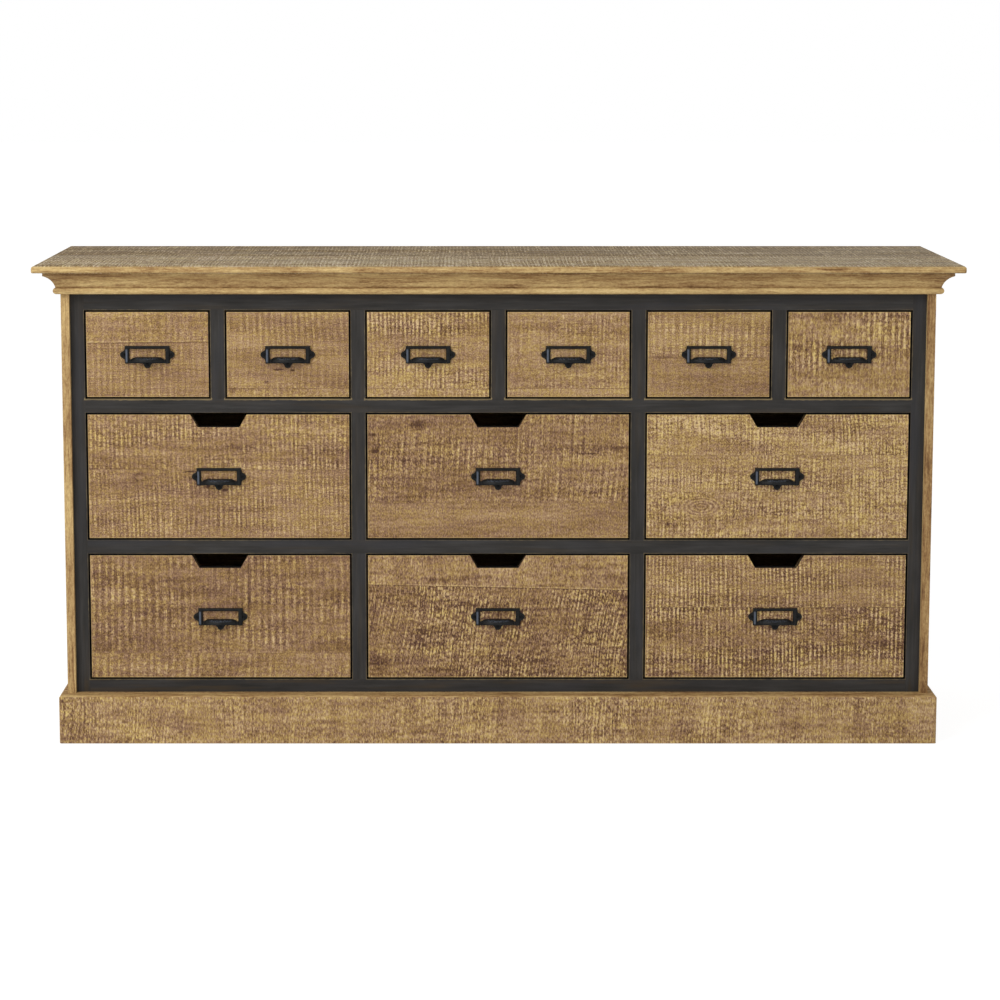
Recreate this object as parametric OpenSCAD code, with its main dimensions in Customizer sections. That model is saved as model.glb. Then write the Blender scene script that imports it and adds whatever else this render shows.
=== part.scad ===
// Shop counter: a twelve-drawer merchant's chest in rough-sawn solid wood,
// with a black face frame, a moulded cornice, a plinth and cast label pulls.
// Millimetres. +Z is up, the front faces -Y, and the origin is on the floor
// under the middle of the top.

/* [Openings] */
// Width of a large drawer's opening
large_open_w = 548; // [480:4:600]
// Height of a large drawer's opening
large_open_h = 267; // [220:1:300]
// Height of a small drawer's opening
small_open_h = 184; // [150:1:220]

/* [Face frame] */
// Width of the two outer stiles
stile_w = 28.5; // [24:0.5:45]
// Width of the mullions between the three columns
mullion_w = 30; // [26:1:48]
// Width of the mullions between two small drawers
small_mullion_w = 30; // [24:1:40]
// Height of the two rails between the rows of drawers
rail_h = 29; // [27:1:45]
// Height of the bottom rail that shows above the plinth
foot_rail_h = 27; // [22:1:45]
// Height of the top rail that shows below the cornice
head_rail_h = 35; // [24:1:60]
// Thickness of the face frame
frame_t = 20; // [18:1:26]
// How far the face frame sits back from the front edges of the side panels
frame_recess = 11; // [4:1:15]
// Length of the tenons that join the face frame
tenon_l = 12; // [8:1:13]
// Thickness of those tenons
tenon_t = 8; // [5:1:10]
// Height of the shoulder above and below a rail's tenon
rail_shoulder = 4; // [2:0.5:6]
// Width of the shoulder on each side of a mullion's tenon
mullion_shoulder = 5; // [3:0.5:8]

/* [Carcass] */
// Depth of the side panels, front edge to back edge
carcass_d = 452; // [400:4:540]
// Thickness of the side panels
side_t = 17; // [15:1:25]
// Thickness of the two upright partitions
partition_t = 16; // [12:1:20]
// Thickness of the floor panel
floor_t = 16; // [12:1:20]
// Thickness of the back panel
back_t = 8; // [5:1:12]
// How far the back panel sits in from the back edges
back_inset = 4; // [2:1:8]
// Depth of the rebate that takes the back panel
rebate = 10; // [9:1:12]
// Thickness of the rails across the back
back_rail_t = 18; // [15:1:25]
// Width of the battens that carry the top
batten_w = 45; // [30:5:80]
// Height of those battens
batten_h = 30; // [20:1:40]

/* [Top] */
// Thickness of the top planks
top_t = 15; // [12:1:22]
// Overhang of the top past each side panel
side_overhang = 52.5; // [40:0.5:70]
// Overhang of the top past the front edges of the side panels
front_overhang = 48; // [44:1:70]
// Depth of the front plank of the top
front_plank_d = 234; // [180:2:300]
// Radius of the round along the top's upper edges
top_round = 8; // [1:0.5:9]
// Radius of the round along the top's lower edges
top_under = 4.5; // [1:0.5:5]
// Radius of the top's two front corners, seen from above
top_corner = 6; // [2:0.5:12]

/* [Cornice] */
// Height of the moulding below the top
cornice_h = 46; // [42:1:60]
// How far the moulding's upper edge stands out from the carcass
cornice_out = 31.5; // [26:0.5:38]
// Height of the flat band over the cove
cornice_band = 7; // [3:0.5:10]
// Radius of the cove
cove_r = 35; // [24:1:60]
// How far the neck under the cove stands out from the carcass
neck_out = 9; // [7:0.5:12]
// Radius of the bead along the bottom
bead_r = 7; // [4:0.5:8]
// How far the bead stands out from the carcass
bead_out = 13.5; // [11:0.5:16]

/* [Plinth] */
// Height of the plinth
plinth_h = 101; // [80:1:130]
// How far the plinth stands out in front of the side panels
plinth_proj = 25; // [12:1:30]
// Thickness of the plinth's end boards
plinth_end_t = 15.5; // [10:0.5:22]
// Radius of the plinth's rounded top edge
plinth_round = 6; // [2:0.5:8]
// Radius of the plinth's two front corners, seen from above
plinth_corner = 5; // [2:0.5:8]
// How far the bottom rail goes down behind the plinth
foot_rail_tail = 30; // [15:1:45]
// Width of the glue blocks behind the plinth
block_w = 60; // [30:5:90]

/* [Drawers] */
// Thickness of the drawer fronts
front_t = 20; // [18:1:26]
// Gap round a drawer front
front_gap = 2.5; // [2:0.5:4]
// How far a drawer front sits back from the face frame
front_set = 1; // [0.5:0.5:3]
// Chamfer on the edges of a drawer front
front_ease = 1.5; // [0.5:0.5:3]
// Thickness of a drawer's sides and back
box_t = 12; // [10:1:15]
// Thickness of a drawer's bottom
bottom_t = 6; // [4:0.5:8]
// Height of the bottom above the lower edges of the sides
bottom_lift = 8; // [6:1:16]
// Depth of the grooves and housings in a drawer
groove = 5; // [3:0.5:6]
// Gap between the top of a drawer's side and its opening's top
box_top_gap = 9; // [6:1:30]
// Width of the glue lines and fits between boards
joint_fit = 0.1; // [0.05:0.05:0.3]
// Length of a drawer's side past its back
box_tail = 12; // [8:1:25]
// Length of the dovetails
dovetail_l = 12; // [8:1:15]
// Height of one dovetail at its wide end
dovetail_w = 30; // [22:1:36]
// How much a dovetail widens on each side
dovetail_flare = 2; // [1:0.5:4]
// Least distance between the middles of two dovetails
dovetail_pitch = 46; // [42:1:70]

/* [Finger notch] */
// Width of the notch at the drawer front's top edge
notch_w = 118; // [80:2:150]
// Width of the notch at its bottom
notch_low_w = 86; // [50:2:110]
// Depth of the notch
notch_d = 28; // [18:1:35]
// Radius of the notch's two upper corners
notch_round = 6; // [3:0.5:9]

/* [Runners] */
// Gap between a drawer's side and its guide
guide_gap = 1; // [0.5:0.25:2]
// Gap between a drawer's side and the runner under it
run_gap = 0.3; // [0.3:0.1:1]
// Height of the guides, kickers and stops
guide_h = 20; // [14:1:28]
// How far a runner reaches in past the drawer's side
ledge_reach = 2; // [1:0.5:6]
// Depth of the stop at the back of each runner
stop_d = 20; // [10:1:30]

/* [Label pull] */
// Width of the pull's frame
pull_w = 92; // [80:1:110]
// Height of the pull's frame
pull_h = 36; // [32:1:44]
// Thickness of the pull's plate
plate_t = 3; // [2:0.5:4]
// Width of the side bars
side_bar = 9; // [7:0.5:12]
// Width of the top bar
top_bar = 6; // [4:0.5:8]
// How far the bars stand out from the plate
bar_rise = 3; // [2:0.5:4]
// How far an ear reaches past the frame
ear_reach = 10; // [9:0.5:14]
// Radius of an ear's lobe
ear_r = 7; // [5.5:0.5:8]
// Radius of the hollow curves beside the side ears' lobes
ear_hollow = 8; // [4:0.5:9]
// Radius of the hollow curves beside the lower ear's lobe
low_ear_hollow = 5.5; // [3:0.5:8]
// Height of the window's lower edge above the frame's lower edge
sill = 8; // [6:0.5:10]
// How far the finger hood stands out from the drawer front
hood_d = 17; // [14:0.5:22]
// Height of the finger hood
hood_h = 10; // [8:0.5:15]
// Height of the hood's mouth above the frame's lower edge
hood_lift = 3; // [1:0.5:4]
// Width of the hood at its mouth
hood_w = 74; // [60:1:78]
// Thickness of the hood's wall
hood_wall = 2.5; // [1.5:0.5:3.5]
// Depth of the slot that takes the paper card
card_slot = 1.2; // [0.8:0.1:1.6]
// How far the card slot reaches past the window on each side
card_grip = 4; // [2:0.5:5]
// How far the card slot reaches below the window
card_foot = 2; // [1:0.5:4]

/* [Screws] */
// Radius of the pull's screws
pull_screw_r = 1.5; // [1:0.25:2]
// Radius of the pull's screw heads
pull_head_r = 3.5; // [3:0.25:4.5]
// Length of the pull's screws in the wood
pull_screw_l = 10; // [6:1:14]
// How far those heads rise above the plate
head_rise = 0.8; // [0.4:0.2:1.2]
// Width of the slots in those heads
slot_w = 1; // [0.6:0.2:1.4]
// Depth of the slots below the plate's face
slot_d = 0.4; // [0.2:0.2:1]
// Turn of the slots, in degrees
slot_turn = 25; // [0:5:90]
// Radius of the back panel's screws
back_screw_r = 2; // [1.5:0.25:2.5]
// Radius of the back panel's screw heads
back_head_r = 4; // [3.5:0.25:5]
// Length of the back panel's screws in the carcass
back_screw_l = 20; // [10:1:30]
// Gap between a screw and its hole
screw_gap = 0.05; // [0.05:0.05:0.2]

/* [Hidden] */
$fn = 48;

COLUMNS = [-1, 0, 1];
SIDES = [-1, 1];
SMALL = [1:6];
LARGE = [1:6];

// Widths
column_pitch = large_open_w + mullion_w;
inner_w = 3 * large_open_w + 2 * mullion_w + 2 * stile_w;
carcass_w = inner_w + 2 * side_t;
top_w = carcass_w + 2 * side_overhang;
small_open_w = (large_open_w - small_mullion_w) / 2;
small_pitch = small_open_w + small_mullion_w;
rail_l = inner_w - 2 * stile_w;

// Levels
low_z = plinth_h + foot_rail_h;
mid_z = low_z + large_open_h + rail_h;
up_z = mid_z + large_open_h + rail_h;
head_z = up_z + small_open_h;
cornice_z = head_z + head_rail_h;
top_z = cornice_z + cornice_h;
floor_z = low_z - rail_h;

// Planes from front to back
top_d = front_overhang + carcass_d;
front_y = -top_d / 2;
back_y = top_d / 2;
side_y = front_y + front_overhang;
face_y = side_y + frame_recess;
rear_y = face_y + frame_t;
panel_y = back_y - back_inset - back_t;
back_rail_y = panel_y - back_rail_t;
stop_y = back_rail_y - stop_d;
drawer_y = face_y + front_set;
box_y = drawer_y + front_t;
box_end_y = stop_y - run_gap;

WOOD = [0.64, 0.49, 0.31];
PLAIN_WOOD = [0.74, 0.60, 0.42];
BLACK_PAINT = [0.16, 0.15, 0.14];
IRON = [0.10, 0.10, 0.11];
STEEL = [0.30, 0.30, 0.31];

// Middle of a small drawer's opening, 1 to 6 from left to right
function small_x(i) =
    COLUMNS[floor((i - 1) / 2)] * column_pitch + SIDES[(i - 1) % 2] * small_pitch / 2;

// Middle of a large drawer's opening, 1 to 3 in the upper row and 4 to 6 in the lower
function large_x(i) = COLUMNS[(i - 1) % 3] * column_pitch;
function large_z(i) = i <= 3 ? mid_z : low_z;

// Points on an arc
function arc(centre, r, from, to, steps = 6) =
    [for (s = [0:steps]) let (a = from + (to - from) * s / steps)
        centre + r * [cos(a), sin(a)]];

// A shape drawn in (y, z) and pushed along +X
module along_x(length) {
    rotate([90, 0, 90]) linear_extrude(length) children();
}

// A shape drawn in (x, z) and pushed along +Y
module along_y(length) {
    translate([0, length, 0]) rotate([90, 0, 0]) linear_extrude(length) children();
}

// A block centred on X, from its front and its lower face
module block_x(w, y, z, d, h) {
    translate([-w / 2, y, z]) cube([w, d, h]);
}

// The same thing on the right and on the left
module both_sides() {
    children();
    mirror([1, 0, 0]) children();
}

// What a round takes off a square corner at the origin
module corner_cut(r) {
    difference() {
        translate([-1, -1]) square(r + 1);
        translate([r, r]) circle(r);
    }
}

// A board's section, from a lower left corner at the origin. Its left side has a round
// at the top and, unless low_r is 0, at the bottom.
module round_edge(w, h, r, low_r) {
    difference() {
        square([w, h]);
        translate([0, h]) mirror([0, 1]) corner_cut(r);
        if (low_r > 0) corner_cut(low_r);
    }
}

// The same with both sides round
module round_edges(w, h, r, low_r) {
    intersection() {
        round_edge(w, h, r, low_r);
        translate([w, 0]) mirror([1, 0]) round_edge(w, h, r, low_r);
    }
}

// A board's plan with its two front corners round. Its front edge is at y = 0.
module round_front_corners(w, d, r) {
    difference() {
        translate([-w / 2, 0]) square([w, d]);
        both_sides() translate([-w / 2, 0]) corner_cut(r);
    }
}

// Top

module top_board() {
    intersection() {
        translate([0, front_y, top_z]) linear_extrude(top_t)
            round_front_corners(top_w, top_d, top_corner);
        translate([-top_w / 2, front_y, top_z]) along_x(top_w)
            round_edge(top_d, top_t, top_round, top_under);
        translate([-top_w / 2, front_y, top_z]) along_y(top_d)
            round_edges(top_w, top_t, top_round, top_under);
    }
}

module top_planks() {
    joint_y = front_y + front_plank_d;
    color(WOOD) {
        intersection() {
            top_board();
            block_x(top_w, front_y, top_z, front_plank_d, top_t);
        }
        intersection() {
            top_board();
            block_x(top_w, joint_y + joint_fit, top_z, back_y - joint_y, top_t);
        }
    }
}

// Cornice

// The moulding's section: x is the distance out from the carcass, y is the level. The
// cove is an arc from the foot of the flat band to the neck over the bead.
module cornice_section() {
    tip = [cornice_out, cornice_h - cornice_band];
    neck = [neck_out, 2 * bead_r];
    half = (tip - neck) / 2;
    away = [half[1], -half[0]] / norm(half);
    difference() {
        square([cornice_out, cornice_h]);
        translate(neck + half + away * sqrt(cove_r * cove_r - half * half)) circle(cove_r);
    }
    translate([bead_out - bead_r, bead_r]) circle(bead_r);
}

module cornice_front() {
    l = carcass_w + 2 * cornice_out;
    tip_y = side_y - cornice_out;
    color(WOOD) {
        intersection() {
            translate([-l / 2, side_y, cornice_z]) mirror([0, 1, 0]) along_x(l)
                cornice_section();
            translate([0, 0, cornice_z]) linear_extrude(cornice_h) polygon([
                [-l / 2, tip_y], [l / 2, tip_y],
                [carcass_w / 2, side_y], [-carcass_w / 2, side_y]]);
        }
        block_x(inner_w, side_y, cornice_z, frame_recess, cornice_h);
    }
}

module cornice_end() {
    tip_x = carcass_w / 2 + cornice_out;
    intersection() {
        translate([carcass_w / 2, front_y, cornice_z]) along_y(top_d) cornice_section();
        translate([0, 0, cornice_z]) linear_extrude(cornice_h) polygon([
            [tip_x, side_y - cornice_out], [tip_x, back_y],
            [carcass_w / 2, back_y], [carcass_w / 2, side_y]]);
    }
}

module cornice_right() { color(WOOD) cornice_end(); }
module cornice_left() { color(WOOD) mirror([1, 0, 0]) cornice_end(); }

// Carcass

// Places of the back panel's screws: the uprights they go into, and their levels
SCREW_LEVELS = [low_z + large_open_h / 2, mid_z + large_open_h / 2, head_z + head_rail_h];
back_screw_xs = [-(inner_w + rebate) / 2, -column_pitch / 2, column_pitch / 2,
                 (inner_w + rebate) / 2];

module back_screw_holes(r, y, depth) {
    for (x = back_screw_xs) for (z = SCREW_LEVELS)
        translate([x, y, z]) rotate([-90, 0, 0]) cylinder(r = r, h = depth);
}

module side_panel() {
    difference() {
        translate([inner_w / 2, side_y, 0]) cube([side_t, carcass_d, top_z]);
        translate([inner_w / 2 - 1, panel_y, -1])
            cube([rebate + 1, back_t + back_inset + 1, top_z + 2]);
        back_screw_holes(back_screw_r + screw_gap, panel_y - back_screw_l, back_screw_l + 1);
    }
}

module side_panel_right() { color(WOOD) side_panel(); }
module side_panel_left() { color(WOOD) mirror([1, 0, 0]) side_panel(); }

module back_panel() {
    low = floor_z - floor_t;
    color(PLAIN_WOOD) difference() {
        block_x(inner_w + 2 * rebate, panel_y, low, back_t, top_z - low);
        back_screw_holes(back_screw_r + screw_gap, panel_y - 1, back_t + 2);
        for (x = back_screw_xs) for (z = SCREW_LEVELS)
            translate([x, panel_y + back_t - back_head_r, z]) rotate([-90, 0, 0])
                cylinder(r1 = 0, r2 = back_head_r + screw_gap, h = back_head_r + screw_gap);
    }
}

module back_screws() {
    color(STEEL) for (x = back_screw_xs) for (z = SCREW_LEVELS)
        translate([x, panel_y - back_screw_l, z]) rotate([-90, 0, 0]) {
            cylinder(r = back_screw_r, h = back_screw_l + back_t - back_screw_r / 2);
            translate([0, 0, back_screw_l + back_t - back_head_r + screw_gap])
                cylinder(r1 = 0, r2 = back_head_r - screw_gap, h = back_head_r - screw_gap);
        }
}

module floor_panel() {
    color(PLAIN_WOOD)
        block_x(inner_w, rear_y, floor_z - floor_t, panel_y - rear_y, floor_t);
}

module partitions() {
    color(PLAIN_WOOD) difference() {
        for (s = SIDES) translate([s * column_pitch / 2 - partition_t / 2, rear_y, floor_z])
            cube([partition_t, panel_y - rear_y, top_z - floor_z]);
        back_screw_holes(back_screw_r + screw_gap, panel_y - back_screw_l, back_screw_l + 1);
    }
}

// Face frame

// Tenons are cut on the rails and on the mullions, and mortised into what they meet
tenon_y = face_y + (frame_t - tenon_t) / 2;

module rail_blanks(extra) {
    l = rail_l + 2 * extra;
    block_x(l, tenon_y, plinth_h - foot_rail_tail + rail_shoulder, tenon_t,
            foot_rail_h + foot_rail_tail - 2 * rail_shoulder);
    for (z = [mid_z, up_z])
        block_x(l, tenon_y, z - rail_h + rail_shoulder, tenon_t, rail_h - 2 * rail_shoulder);
    block_x(l, tenon_y, head_z + rail_shoulder, tenon_t, top_z - head_z - 2 * rail_shoulder);
}

module frame_stiles() {
    color(BLACK_PAINT) difference() {
        for (s = SIDES) translate([s * (inner_w - stile_w) / 2 - stile_w / 2, face_y, 0])
            cube([stile_w, frame_t, top_z]);
        rail_blanks(tenon_l);
    }
}

// Every mullion as [centre, foot, height, width]
MULLIONS = concat(
    [for (s = SIDES) for (row = [[low_z, large_open_h], [mid_z, large_open_h],
                                 [up_z, small_open_h]])
        [s * column_pitch / 2, row[0], row[1], mullion_w]],
    [for (c = COLUMNS) [c * column_pitch, up_z, small_open_h, small_mullion_w]]
);

module mullion_tenons() {
    for (m = MULLIONS)
        translate([m[0] - m[3] / 2 + mullion_shoulder, tenon_y, m[1] - tenon_l])
            cube([m[3] - 2 * mullion_shoulder, tenon_t, m[2] + 2 * tenon_l]);
}

module frame_rails() {
    color(BLACK_PAINT) difference() {
        union() {
            block_x(rail_l, face_y, plinth_h - foot_rail_tail, frame_t,
                    foot_rail_h + foot_rail_tail);
            for (z = [mid_z, up_z]) block_x(rail_l, face_y, z - rail_h, frame_t, rail_h);
            block_x(rail_l, face_y, head_z, frame_t, top_z - head_z);
            rail_blanks(tenon_l);
        }
        mullion_tenons();
    }
}

module frame_mullions() {
    color(BLACK_PAINT) {
        for (m = MULLIONS) translate([m[0] - m[3] / 2, face_y, m[1]])
            cube([m[3], frame_t, m[2]]);
        mullion_tenons();
    }
}

// Runners, guides and stops

guide_in = front_gap - guide_gap;
ledge = guide_gap + box_t + ledge_reach;

// Each upright wall beside a column, as [its face, the opening's edge, the side it serves]
WALLS = [for (c = COLUMNS) for (s = SIDES) let (
    edge = c * column_pitch + s * large_open_w / 2,
    face = c * s == 1 ? s * inner_w / 2 : edge + s * (mullion_w - partition_t) / 2)
    [face, edge - s * guide_in, s]];

module wall_strip(from, to, y, z, d, h) {
    translate([min(from, to), y, z]) cube([abs(to - from), d, h]);
}

module drawer_runners() {
    color(PLAIN_WOOD) {
        for (w = WALLS) for (z = [low_z, mid_z, up_z])
            wall_strip(w[0], w[1] - w[2] * ledge, rear_y, z - rail_h,
                       back_rail_y - rear_y, rail_h);
        for (c = COLUMNS) translate([c * column_pitch, 0, 0])
            block_x(small_mullion_w + 2 * (guide_in + ledge), rear_y, up_z - rail_h,
                    back_rail_y - rear_y, rail_h);
    }
}

module drawer_guides() {
    color(PLAIN_WOOD) {
        for (w = WALLS) for (z = [low_z, mid_z, up_z])
            wall_strip(w[0], w[1], rear_y, z, back_rail_y - rear_y, guide_h);
        for (c = COLUMNS) translate([c * column_pitch, 0, 0])
            block_x(small_mullion_w + 2 * guide_in, rear_y, up_z,
                    back_rail_y - rear_y, guide_h);
    }
}

module drawer_stops() {
    color(PLAIN_WOOD) {
        for (w = WALLS) for (z = [low_z, mid_z, up_z])
            wall_strip(w[1], w[1] - w[2] * ledge, stop_y, z, stop_d, guide_h);
        for (c = COLUMNS) for (s = SIDES) {
            edge = c * column_pitch + s * (small_mullion_w / 2 + guide_in);
            wall_strip(edge, edge + s * ledge, stop_y, up_z, stop_d, guide_h);
        }
    }
}

module kicker_strips() {
    color(PLAIN_WOOD) {
        for (w = WALLS)
            wall_strip(w[0], w[1] - w[2] * ledge, rear_y, head_z,
                       back_rail_y - rear_y, guide_h);
        for (c = COLUMNS) translate([c * column_pitch, 0, 0])
            block_x(small_mullion_w + 2 * (guide_in + ledge), rear_y, head_z,
                    back_rail_y - rear_y, guide_h);
    }
}

module top_battens() {
    color(PLAIN_WOOD) for (c = COLUMNS) translate([c * column_pitch, 0, 0])
        block_x(batten_w, rear_y, top_z - batten_h, panel_y - back_rail_t - rear_y, batten_h);
}

module back_rails() {
    color(PLAIN_WOOD) for (c = COLUMNS) {
        left = c < 0 ? -inner_w / 2 : c * column_pitch - (column_pitch - partition_t) / 2;
        right = c > 0 ? inner_w / 2 : c * column_pitch + (column_pitch - partition_t) / 2;
        for (z = [low_z, mid_z, up_z])
            wall_strip(left, right, back_rail_y, z - rail_h, back_rail_t, rail_h + guide_h);
        wall_strip(left, right, back_rail_y, head_z, back_rail_t, top_z - head_z);
    }
}

// Plinth

module plinth_front() {
    w = carcass_w + 2 * plinth_end_t;
    color(WOOD) {
        intersection() {
            translate([0, side_y - plinth_proj, 0]) linear_extrude(plinth_h)
                round_front_corners(w, plinth_proj, plinth_corner);
            translate([-w / 2, side_y - plinth_proj, 0]) along_x(w)
                round_edge(plinth_proj, plinth_h, plinth_round, 0);
            translate([-w / 2, side_y - plinth_proj, 0]) along_y(plinth_proj)
                round_edges(w, plinth_h, plinth_round, 0);
        }
        block_x(inner_w, side_y, 0, frame_recess, plinth_h);
    }
}

module plinth_ends() {
    color(WOOD) both_sides() translate([-carcass_w / 2 - plinth_end_t, side_y, 0])
        along_y(carcass_d) round_edge(plinth_end_t, plinth_h, plinth_round, 0);
}

module plinth_back() {
    color(PLAIN_WOOD)
        block_x(inner_w, back_rail_y, 0, back_rail_t, floor_z - floor_t);
}

module plinth_bearers() {
    color(PLAIN_WOOD) for (s = SIDES) translate([s * column_pitch / 2, 0, 0])
        block_x(partition_t, rear_y, 0, back_rail_y - rear_y, floor_z - floor_t);
}

// Glue blocks: two behind the front board at the bearers, two in the back corners
module plinth_blocks() {
    color(PLAIN_WOOD) for (s = SIDES) {
        translate([s * column_pitch / 2, 0, 0])
            block_x(block_w, face_y, 0, frame_t, plinth_h - foot_rail_tail);
        translate([s * (inner_w - block_w) / 2, 0, 0])
            block_x(block_w, back_rail_y - frame_t, 0, frame_t, floor_z - floor_t);
    }
}

// Drawers. Each is drawn with its opening's floor at z = 0 and its middle at x = 0.

function front_w(open_w) = open_w - 2 * front_gap;
function box_h(open_h) = open_h - box_top_gap - run_gap;

// The dovetails' outlines in (y, z), used for the tails and for their sockets. They
// stand above the drawer's bottom, as many as fit.
module dovetails(open_h) {
    foot = run_gap + bottom_lift + bottom_t;
    rise = run_gap + box_h(open_h) - foot;
    n = floor(rise / dovetail_pitch);
    narrow = dovetail_w / 2 - dovetail_flare;
    wide = dovetail_w / 2;
    for (i = [0:n - 1]) translate([box_y, foot + (i + 0.5) * rise / n]) polygon([
        [0, -narrow], [0, narrow], [-dovetail_l, wide], [-dovetail_l, -wide]]);
}

module notch_outline(h) {
    slope = atan2(notch_d, (notch_w - notch_low_w) / 2);
    r = notch_round;
    reach = r * tan(slope / 2);
    right = concat(
        [[notch_low_w / 2, h - notch_d]],
        arc([notch_w / 2 + reach, h - r], r, 90 + slope, 90),
        [[notch_w / 2 + reach, h + r]]);
    polygon(concat(right, [for (i = [len(right) - 1:-1:0]) [-right[i][0], right[i][1]]]));
}

module eased_board(w, h, t, c) {
    intersection() {
        linear_extrude(h) polygon([
            [c - w / 2, 0], [w / 2 - c, 0], [w / 2, c], [w / 2, t], [-w / 2, t], [-w / 2, c]]);
        translate([-w / 2, 0, 0]) along_x(w) polygon([
            [c, 0], [t, 0], [t, h], [c, h], [0, h - c], [0, c]]);
    }
}

// The bottom, or with fit above zero the room that is cut for it
module drawer_bottom(open_w, fit) {
    w = front_w(open_w) - 2 * (box_t - groove);
    block_x(w + 2 * fit, box_y - groove - fit, run_gap + bottom_lift - fit,
            box_end_y - box_y + groove + 2 * fit, bottom_t + 2 * fit);
}

module drawer_front(open_w, open_h, notched) {
    w = front_w(open_w);
    h = open_h - 2 * front_gap;
    color(WOOD) difference() {
        translate([0, drawer_y, front_gap]) eased_board(w, h, front_t, front_ease);
        for (s = SIDES) translate([s * (w - box_t) / 2 - box_t / 2, 0, 0])
            along_x(box_t) dovetails(open_h);
        drawer_bottom(open_w, joint_fit);
        if (notched) translate([0, drawer_y - 1, front_gap])
            along_y(front_t + 2) notch_outline(h);
        translate([0, drawer_y, open_h / 2]) pull_pilots();
    }
}

module drawer_side(open_w, open_h) {
    along_x(box_t) {
        translate([box_y, run_gap]) square([box_end_y - box_y, box_h(open_h)]);
        dovetails(open_h);
    }
}

// The back, or with fit above zero the room that is cut for it
module drawer_back(open_w, open_h, fit) {
    w = front_w(open_w) - 2 * (box_t - groove);
    low = run_gap + bottom_lift + bottom_t + joint_fit;
    block_x(w + 2 * fit, box_end_y - box_tail - box_t - fit, low - fit, box_t + 2 * fit,
            run_gap + box_h(open_h) - low + 2 * fit);
}

module drawer_box(open_w, open_h) {
    w = front_w(open_w);
    color(PLAIN_WOOD) {
        difference() {
            for (s = SIDES) translate([s * (w - box_t) / 2 - box_t / 2, 0, 0])
                drawer_side(open_w, open_h);
            drawer_bottom(open_w, joint_fit);
            drawer_back(open_w, open_h, joint_fit);
        }
        drawer_back(open_w, open_h, 0);
        drawer_bottom(open_w, 0);
    }
}

// Label pull. Drawn in (x, z) on the plane y = 0, standing out towards -Y.

// Screw places on the two side ears and the lower ear
pull_screws = [
    [-(pull_w / 2 + ear_reach - ear_r), 0],
    [pull_w / 2 + ear_reach - ear_r, 0],
    [0, -(pull_h / 2 + ear_reach - ear_r)]];

module pull_pilots() {
    for (p = pull_screws) translate([p[0], -1, p[1]]) rotate([-90, 0, 0])
        cylinder(r = pull_screw_r + screw_gap, h = pull_screw_l + 1 + screw_gap);
}

// An ear on the frame's edge: a round lobe, with hollow curves that touch it and the edge
module ear(hollow) {
    middle = ear_reach - ear_r;
    both_r = ear_r + hollow;
    spread = sqrt(both_r * both_r - (hollow - middle) * (hollow - middle));
    touch = middle + (hollow - middle) * ear_r / both_r;
    translate([0, middle]) circle(ear_r);
    difference() {
        translate([-spread, -1]) square([2 * spread, touch + 1]);
        for (s = SIDES) translate([s * spread, hollow]) circle(hollow);
    }
}

module pull_outline() {
    square([pull_w, pull_h], center = true);
    for (s = SIDES) translate([s * pull_w / 2, 0]) rotate(-90 * s) ear(ear_hollow);
    translate([0, -pull_h / 2]) rotate(180) ear(low_ear_hollow);
}

window_w = pull_w - 2 * side_bar;
window_h = pull_h - top_bar - sill;
window_z = (sill - top_bar) / 2;
card_w = window_w + 2 * card_grip;
card_z = sill - card_foot - pull_h / 2;

// One bar of the frame: a shallow round-backed strip
module bar(width, length) {
    r = (width * width / 4 + bar_rise * bar_rise) / (2 * bar_rise);
    linear_extrude(length, center = true) intersection() {
        translate([0, r - bar_rise]) circle(r);
        translate([-width / 2, -bar_rise - 1]) square([width, bar_rise + 1]);
    }
}

module pull_bars() {
    for (s = SIDES) translate([s * (pull_w - side_bar) / 2, 0, 0]) bar(side_bar, pull_h);
    translate([0, 0, (pull_h - top_bar) / 2]) rotate([0, 90, 0]) bar(top_bar, pull_w);
}

// The hood is a slice off a dome that turns about an upright line behind the drawer front
hood_r = (hood_w * hood_w / 4 + hood_d * hood_d) / (2 * hood_d);
hood_mouth = hood_lift - pull_h / 2;

// A quarter round from the dome's rim up to its crown, drawn with x as the radius
module dome_section(shrink) {
    r = hood_h - shrink;
    square([hood_r - hood_h, r]);
    translate([hood_r - hood_h, 0]) intersection() {
        circle(r);
        square(r);
    }
}

module hood_place(back) {
    intersection() {
        translate([0, hood_r - hood_d, hood_mouth]) rotate_extrude() children();
        translate([-hood_w, -hood_d - 1, -pull_h]) cube([2 * hood_w, hood_d + 1 - back, 2 * pull_h]);
    }
}

module hood() {
    hood_place(0) dome_section(0);
}

// The room for fingertips under the hood, which runs out through its mouth
module hood_hollow() {
    hood_place(plate_t) {
        dome_section(hood_wall);
        translate([0, -1]) square([hood_r - hood_wall, 1]);
    }
}

// The casting. Its back holds the card slot, open at the top, and its window's
// lower edge follows the hood.
module pull_casting() {
    front = plate_t + bar_rise + 1;
    difference() {
        union() {
            difference() {
                union() {
                    translate([0, -plate_t, 0]) along_y(plate_t) pull_outline();
                    translate([0, -plate_t, 0]) pull_bars();
                }
                translate([0, -front, window_z]) along_y(front + 1)
                    square([window_w, window_h], center = true);
            }
            hood();
        }
        hood_hollow();
        block_x(card_w, -card_slot, card_z, card_slot + 1, pull_h);
        for (p = pull_screws) translate([p[0], -plate_t, p[1]]) rotate([-90, 0, 0]) {
            cylinder(r = pull_screw_r + screw_gap, h = plate_t + 1);
            pull_screw_head(screw_gap);
            translate([0, 0, -bar_rise - 1]) cylinder(r = pull_head_r + screw_gap, h = bar_rise + 1);
        }
    }
}

// A countersunk head, drawn downwards from the plate's face
module pull_screw_head(gap) {
    cylinder(r1 = pull_head_r + gap, r2 = pull_screw_r + gap, h = pull_head_r - pull_screw_r);
}

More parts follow.
